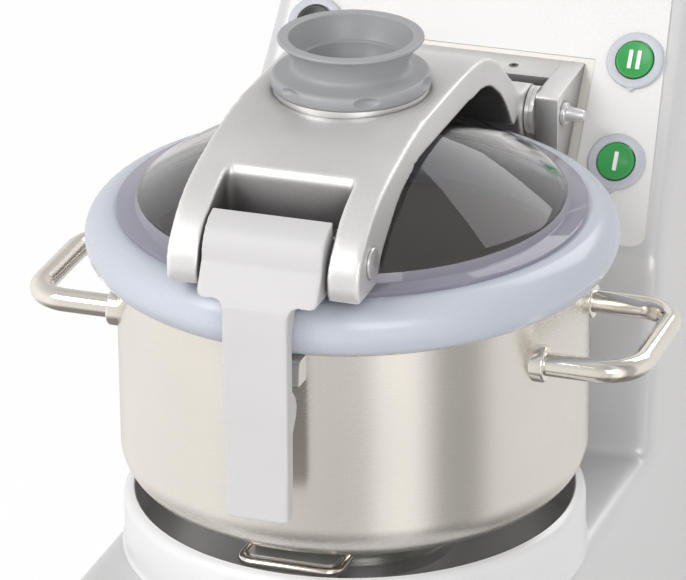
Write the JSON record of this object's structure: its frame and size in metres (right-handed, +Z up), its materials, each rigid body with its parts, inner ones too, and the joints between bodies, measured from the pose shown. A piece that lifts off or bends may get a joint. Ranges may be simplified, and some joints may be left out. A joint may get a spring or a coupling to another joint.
{
  "type": "vertical cutter mixer",
  "caption": "Table-top vertical cutter mixer with a steel bowl, a hinged lid arm, a closing lever, a feed hopper and a motor base.",
  "frame": {"origin": "centre of the machine's bounding box, on the floor under the feet", "axes": "+Z up, +Y towards the back, front of the machine towards -Y, +X to the right seen from the front"},
  "size_m": [0.388, 0.5504, 0.5849],
  "materials": {
    "housing": "fine textured silver-grey paint",
    "base_plate": "plain sheet steel",
    "rear_cover": "silver-grey paint",
    "rear_cover_screws": "zinc-plated",
    "base_screws": "zinc-plated",
    "feet": "black rubber",
    "foot_screws": "zinc-plated",
    "control_panel": "white satin overlay",
    "hinge_plate": "pale beige paint",
    "hinge_bracket": "cast and machined aluminium",
    "bracket_screws": "socket screws",
    "hinge_pin": "polished stainless steel",
    "hinge_washers": "stainless steel",
    "button_bezels": "light grey",
    "cap_one": "green",
    "cap_two": "green",
    "cap_pulse": "black",
    "cap_stop": "red",
    "mark_one": "white",
    "mark_two": "white",
    "switch_blocks": "black",
    "bowl_seat": "turned stainless steel",
    "shaft_seal": "black nitrile",
    "motor_stator": "laminated steel",
    "motor_windings": "varnished copper",
    "motor_end_shields": "cast aluminium",
    "motor_bearings": "ground steel",
    "motor_bolts": "zinc-plated",
    "motor_rotor": "laminated steel and aluminium",
    "motor_shaft": "ground stainless steel",
    "motor_fan": "black",
    "blade_hub": "stainless steel",
    "blade_lower": "ground blade steel",
    "blade_upper": "ground blade steel",
    "blade_knob": "black",
    "bowl": "brushed stainless steel",
    "handle_left": "polished stainless bar",
    "handle_right": "polished stainless bar",
    "bowl_catch": "stainless steel",
    "bowl_loop": "polished stainless bar",
    "lid_arm": "satin cast aluminium",
    "lid_dome": "clear polycarbonate",
    "lid_ring": "soft pale blue-grey",
    "lid_gasket": "grey silicone",
    "arm_seat": "machined ring",
    "lever_pin": "stainless steel",
    "lid_magnet": "nickel-plated magnet",
    "lid_switch": "black",
    "hopper": "mid grey moulding",
    "lever": "light warm grey moulding",
    "contactors": "grey-white",
    "control_board": "green laminate",
    "transformer": "laminated steel",
    "terminal_block": "off-white",
    "cable_gland": "black"
  },
  "bodies": {
    "base": {"housing": "housing", "base_plate": "base_plate", "rear_cover": "rear_cover", "rear_cover_screws": "rear_cover_screws", "base_screws": "base_screws", "feet": "feet", "foot_screws": "foot_screws", "control_panel": "control_panel", "hinge_plate": "hinge_plate", "hinge_bracket": "hinge_bracket", "bracket_screws": "bracket_screws", "hinge_pin": "hinge_pin", "hinge_washers": "hinge_washers", "button_bezels": "button_bezels", "switch_blocks": "switch_blocks", "bowl_seat": "bowl_seat", "shaft_seal": "shaft_seal", "motor_stator": "motor_stator", "motor_windings": "motor_windings", "motor_end_shields": "motor_end_shields", "motor_bearings": "motor_bearings", "motor_bolts": "motor_bolts", "bowl": "bowl", "handle_left": "handle_left", "handle_right": "handle_right", "bowl_catch": "bowl_catch", "bowl_loop": "bowl_loop", "lid_switch": "lid_switch", "contactors": "contactors", "control_board": "control_board", "transformer": "transformer", "terminal_block": "terminal_block", "cable_gland": "cable_gland"},
    "rotor": {"motor_rotor": "motor_rotor", "motor_shaft": "motor_shaft", "motor_fan": "motor_fan", "blade_hub": "blade_hub", "blade_lower": "blade_lower", "blade_upper": "blade_upper", "blade_knob": "blade_knob"},
    "arm": {"lid_arm": "lid_arm", "lid_dome": "lid_dome", "lid_ring": "lid_ring", "lid_gasket": "lid_gasket", "arm_seat": "arm_seat", "lever_pin": "lever_pin", "lid_magnet": "lid_magnet"},
    "hopper_body": {"hopper": "hopper"},
    "lever_body": {"lever": "lever"},
    "button_one": {"cap_one": "cap_one", "mark_one": "mark_one"},
    "button_two": {"cap_two": "cap_two", "mark_two": "mark_two"},
    "button_pulse": {"cap_pulse": "cap_pulse"},
    "button_stop": {"cap_stop": "cap_stop"}
  },
  "joints": [
    {"name": "rotor_spin", "type": "hinge", "parent": "base", "child": "rotor", "pos_m": [0, -0.10525, 0.28], "axis": [0, 0, 1], "continuous": true},
    {"name": "arm_hinge", "type": "hinge", "parent": "base", "child": "arm", "pos_m": [0, 0.07875, 0.402], "axis": [-1, 0, 0], "range_deg": [0, 85]},
    {"name": "lever_swing", "type": "hinge", "parent": "arm", "child": "lever_body", "pos_m": [0, -0.23775, 0.4294], "axis": [-1, 0, 0], "range_deg": [0, 100]},
    {"name": "hopper_turn", "type": "hinge", "parent": "arm", "child": "hopper_body", "pos_m": [0, -0.10525, 0.49], "axis": [0, 0, 1], "range_deg": [0, 45]},
    {"name": "button_one_press", "type": "slide", "parent": "base", "child": "button_one", "axis": [0, 0.8013, -0.5983], "range_m": [0, 0.003], "stiffness_N_per_m": 400, "springref_m": -0.001},
    {"name": "button_two_press", "type": "slide", "parent": "base", "child": "button_two", "axis": [0, 0.8013, -0.5983], "range_m": [0, 0.003], "stiffness_N_per_m": 400, "springref_m": -0.001},
    {"name": "button_pulse_press", "type": "slide", "parent": "base", "child": "button_pulse", "axis": [0, 0.8013, -0.5983], "range_m": [0, 0.003], "stiffness_N_per_m": 400, "springref_m": -0.001},
    {"name": "button_stop_press", "type": "slide", "parent": "base", "child": "button_stop", "axis": [0, 0.8013, -0.5983], "range_m": [0, 0.003], "stiffness_N_per_m": 400, "springref_m": -0.001}
  ]
}
